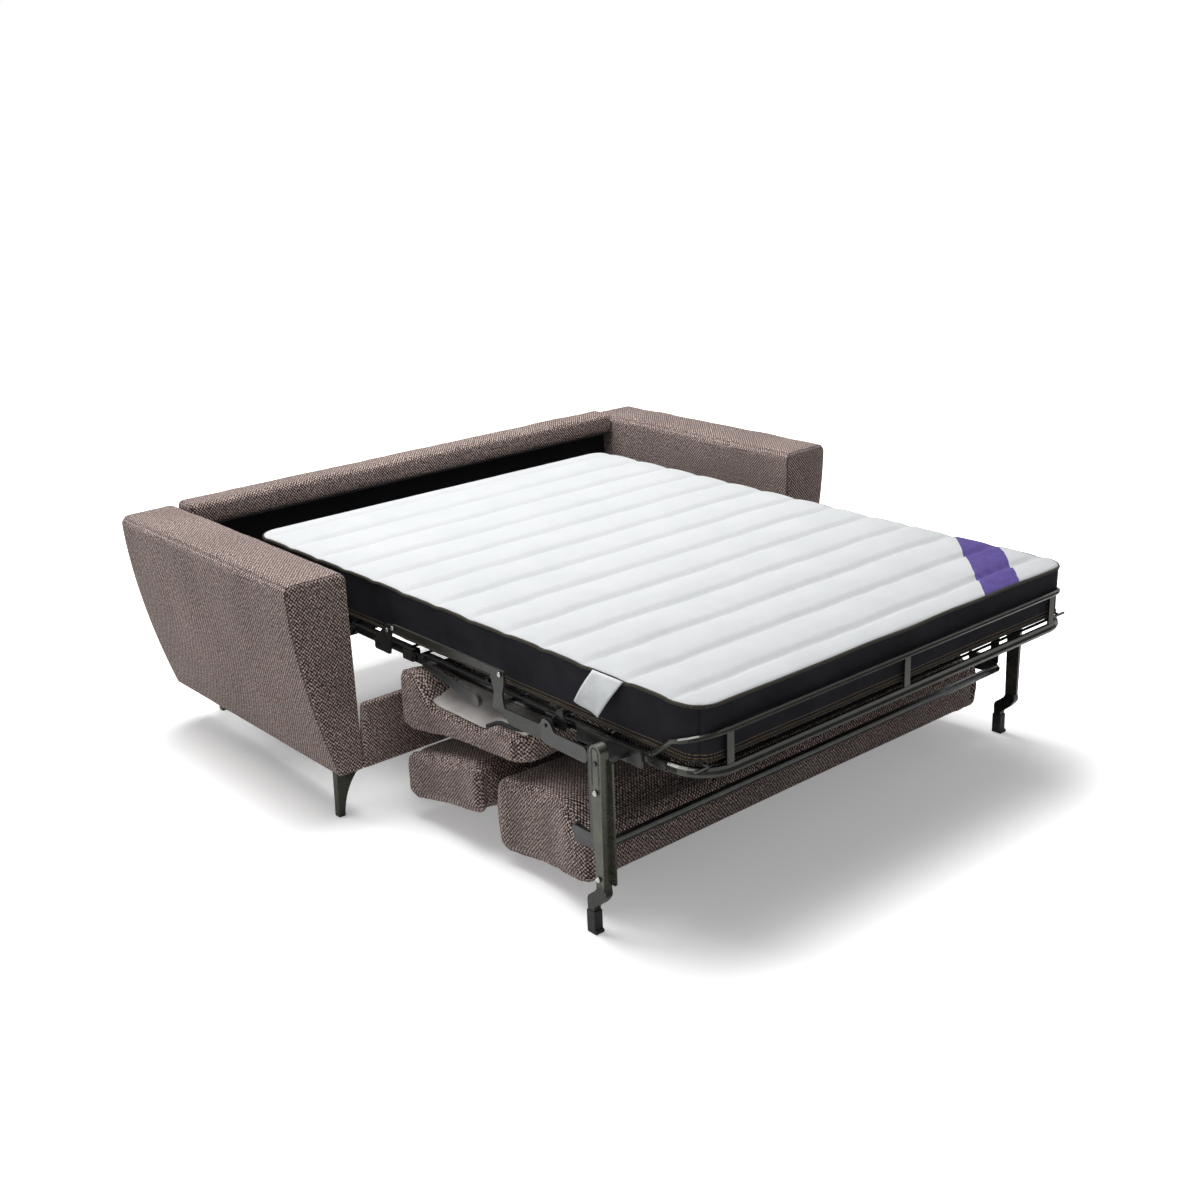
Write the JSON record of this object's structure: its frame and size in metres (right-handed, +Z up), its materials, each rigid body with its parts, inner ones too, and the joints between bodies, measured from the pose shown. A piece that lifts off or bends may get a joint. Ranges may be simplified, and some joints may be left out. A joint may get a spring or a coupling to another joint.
{
  "type": "sleeper sofa with pull-out bed",
  "caption": "Two-seat fabric sleeper sofa shown open: padded arms and back, with a folding steel bed frame and mattress that turn over the seat and back cushions.",
  "frame": {"origin": "centre of the open sofa bed's plan outline, on the floor", "axes": "+Z is up, -Y points forward from the sofa's back to the foot of the bed, and +X points across the bed"},
  "size_m": [2.0676, 2.15, 0.711],
  "materials": {
    "chenille": "woven taupe-brown chenille",
    "liner": "black lining cloth",
    "lining": "grey non-woven lining",
    "ticking": "white quilted ticking",
    "graphite": "graphite-grey enamel",
    "black_steel": "satin black enamel",
    "olive_steel": "dark olive-black enamel",
    "rubber": "matte black"
  },
  "bodies": {
    "sofa": {"arm_right": "chenille", "arm_left": "chenille", "back_panel": "chenille", "back_liner": "liner", "front_apron": "chenille", "sofa_leg_front_right": "olive_steel", "sofa_leg_front_left": "olive_steel", "sofa_leg_rear_right": "olive_steel", "sofa_leg_rear_left": "olive_steel", "mechanism_plate_right": "black_steel", "mechanism_plate_left": "black_steel"},
    "front_swing_arms": {"swing_arm_front_right": "black_steel", "swing_arm_front_left": "black_steel"},
    "rear_swing_arms": {"swing_arm_rear_right": "black_steel", "swing_arm_rear_left": "black_steel"},
    "head_section": {"head_rail_right": "graphite", "head_rail_left": "graphite", "head_end_tube": "graphite", "head_deck": "graphite", "mattress_head": "ticking", "head_carrier_right": "black_steel", "head_carrier_left": "black_steel"},
    "bridge_section": {"bridge_rail_right": "graphite", "bridge_rail_left": "graphite", "bridge_plate_right": "black_steel", "bridge_plate_left": "black_steel", "bridge_deck": "graphite", "mattress_fold": "ticking"},
    "middle_section": {"middle_rail_right": "graphite", "middle_rail_left": "graphite", "middle_deck": "graphite", "mattress_middle": "ticking", "link_bar_right": "graphite", "link_bar_left": "graphite", "link_arm_right": "black_steel", "link_arm_left": "black_steel"},
    "seat": {"seat_cushion": "chenille", "seat_board": "lining"},
    "foot_section": {"foot_rail_right": "graphite", "foot_rail_left": "graphite", "foot_end_tube": "graphite", "guard_rail": "graphite", "foot_deck": "graphite", "mattress_foot": "ticking", "leg_bracket_right": "black_steel", "leg_bracket_left": "black_steel", "flat_bar_right": "graphite", "flat_bar_left": "graphite"},
    "bed_legs": {"bed_leg_right": "graphite", "bed_leg_left": "graphite", "bed_leg_boot_right": "rubber", "bed_leg_boot_left": "rubber"},
    "back": {"back_cushion": "chenille", "back_crossbar": "graphite", "back_end_plate_right": "black_steel", "back_end_plate_left": "black_steel", "headrest_hinge_right": "black_steel", "headrest_hinge_left": "black_steel"},
    "headrest": {"headrest_cushion": "chenille", "headrest_bracket": "black_steel"}
  },
  "joints": [
    {"name": "fold", "type": "hinge", "parent": "sofa", "child": "front_swing_arms", "pos_m": [0, 0.65304, 0.14067], "axis": [1, 0, 0], "range_deg": [0, 72]},
    {"name": "rear_swing", "type": "hinge", "parent": "sofa", "child": "rear_swing_arms", "pos_m": [0, 1.00304, 0.14067], "axis": [1, 0, 0], "range_deg": [0, 73]},
    {"name": "head_turn", "type": "hinge", "parent": "front_swing_arms", "child": "head_section", "pos_m": [0, 0.461, 0.448], "axis": [-1, 0, 0], "range_deg": [0, 73]},
    {"name": "head_fold", "type": "hinge", "parent": "head_section", "child": "bridge_section", "pos_m": [0, 0.351, 0.448], "axis": [-1, 0, 0], "range_deg": [0, 93], "deforming": ["mattress_fold"]},
    {"name": "middle_fold", "type": "hinge", "parent": "bridge_section", "child": "middle_section", "pos_m": [0, 0.009, 0.448], "axis": [-1, 0, 0], "range_deg": [0, 89]},
    {"name": "foot_fold", "type": "hinge", "parent": "middle_section", "child": "foot_section", "pos_m": [0, -0.591, 0.448], "axis": [1, 0, 0], "range_deg": [0, 91]},
    {"name": "leg_fold", "type": "hinge", "parent": "foot_section", "child": "bed_legs", "pos_m": [0, -0.834, 0.448], "axis": [1, 0, 0], "range_deg": [0, 91]},
    {"name": "back_turn", "type": "hinge", "parent": "foot_section", "child": "back", "pos_m": [0, -0.715, 0.23], "axis": [-1, 0, 0], "range_deg": [0, 181]},
    {"name": "headrest_turn", "type": "hinge", "parent": "back", "child": "headrest", "pos_m": [0, -0.353, 0.085], "axis": [-1, 0, 0], "range_deg": [0, 81]},
    {"name": "seat_slide", "type": "slide", "parent": "middle_section", "child": "seat", "axis": [0, 1, 0], "range_m": [0, 0.13]}
  ],
  "couplings": [
    {"joint": "rear_swing", "follows": "fold", "ratio": 1},
    {"joint": "head_turn", "follows": "fold", "ratio": 1},
    {"joint": "head_fold", "follows": "fold", "ratio": 1.2778},
    {"joint": "middle_fold", "follows": "fold", "ratio": 1.2222},
    {"joint": "foot_fold", "follows": "fold", "ratio": 1.25},
    {"joint": "leg_fold", "follows": "fold", "ratio": 1.25},
    {"joint": "back_turn", "follows": "fold", "ratio": 2.5},
    {"joint": "headrest_turn", "follows": "fold", "ratio": 1.1111},
    {"joint": "seat_slide", "follows": "fold", "m_per_rad": 0.10027}
  ]
}
